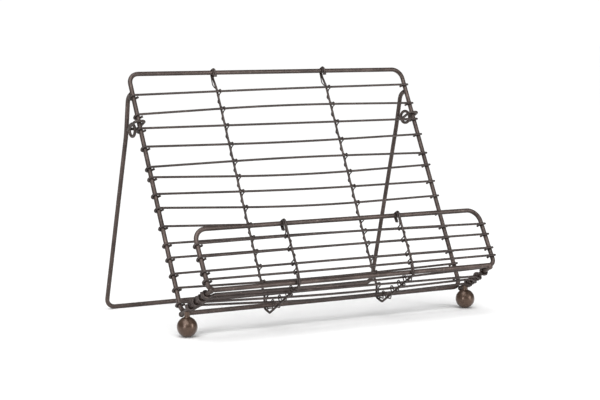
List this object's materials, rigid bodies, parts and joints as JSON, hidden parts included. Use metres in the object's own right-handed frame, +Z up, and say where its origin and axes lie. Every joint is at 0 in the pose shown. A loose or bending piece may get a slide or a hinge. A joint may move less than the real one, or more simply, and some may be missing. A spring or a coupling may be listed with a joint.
{
  "type": "wire album stand",
  "caption": "Bent-wire easel stand with slanted wire back, ledge and lip, ball feet and a folding U-shaped kickstand, for an album or open book.",
  "frame": {"origin": "middle of the stand's footprint box, on the floor", "axes": "+X along the width to the viewer's right, +Y to the back, +Z up; an album faces -Y"},
  "size_m": [0.3168, 0.2183, 0.2302],
  "materials": {
    "frame_rod": "satin dark bronze lacquer over steel rod",
    "cross_wire": "satin dark bronze lacquer over thin steel wire",
    "stay_wire": "satin dark bronze lacquer over thin steel wire",
    "binding_wire": "satin dark bronze lacquer over fine steel wire",
    "hinge_wire": "satin dark bronze lacquer over steel wire, worn where it turns",
    "kickstand_rod": "satin dark bronze lacquer over steel rod",
    "ball": "smooth antique bronze lacquer, warmer and glossier than the rods"
  },
  "bodies": {
    "frame": {"back_frame": "frame_rod", "lip_frame": "frame_rod", "shelf_link_left": "frame_rod", "shelf_link_right": "frame_rod", "back_wire_01": "cross_wire", "back_wire_02": "cross_wire", "back_wire_03": "cross_wire", "back_wire_04": "cross_wire", "back_wire_05": "cross_wire", "back_wire_06": "cross_wire", "back_wire_07": "cross_wire", "back_wire_08": "cross_wire", "back_wire_09": "cross_wire", "back_wire_10": "cross_wire", "back_wire_11": "cross_wire", "back_wire_12": "cross_wire", "back_wire_13": "cross_wire", "back_wire_14": "cross_wire", "shelf_wire_1": "cross_wire", "shelf_wire_2": "cross_wire", "shelf_wire_3": "cross_wire", "shelf_wire_4": "cross_wire", "lip_wire_1": "cross_wire", "lip_wire_2": "cross_wire", "lip_wire_3": "cross_wire", "lip_wire_4": "cross_wire", "stay_left": "stay_wire", "stay_right": "stay_wire", "binding_wire_left": "binding_wire", "binding_wire_right": "binding_wire", "ball_foot_left": "ball", "ball_foot_right": "ball", "hinge_link_left": "hinge_wire", "hinge_link_right": "hinge_wire"},
    "kickstand": {"kickstand": "kickstand_rod", "leg_eye_left": "hinge_wire", "leg_eye_right": "hinge_wire"}
  },
  "joints": [
    {"name": "kickstand_fold", "type": "hinge", "parent": "frame", "child": "kickstand", "pos_m": [0, 0.04509, 0.1761], "axis": [-1, 0, 0], "range_deg": [0, 47]}
  ]
}
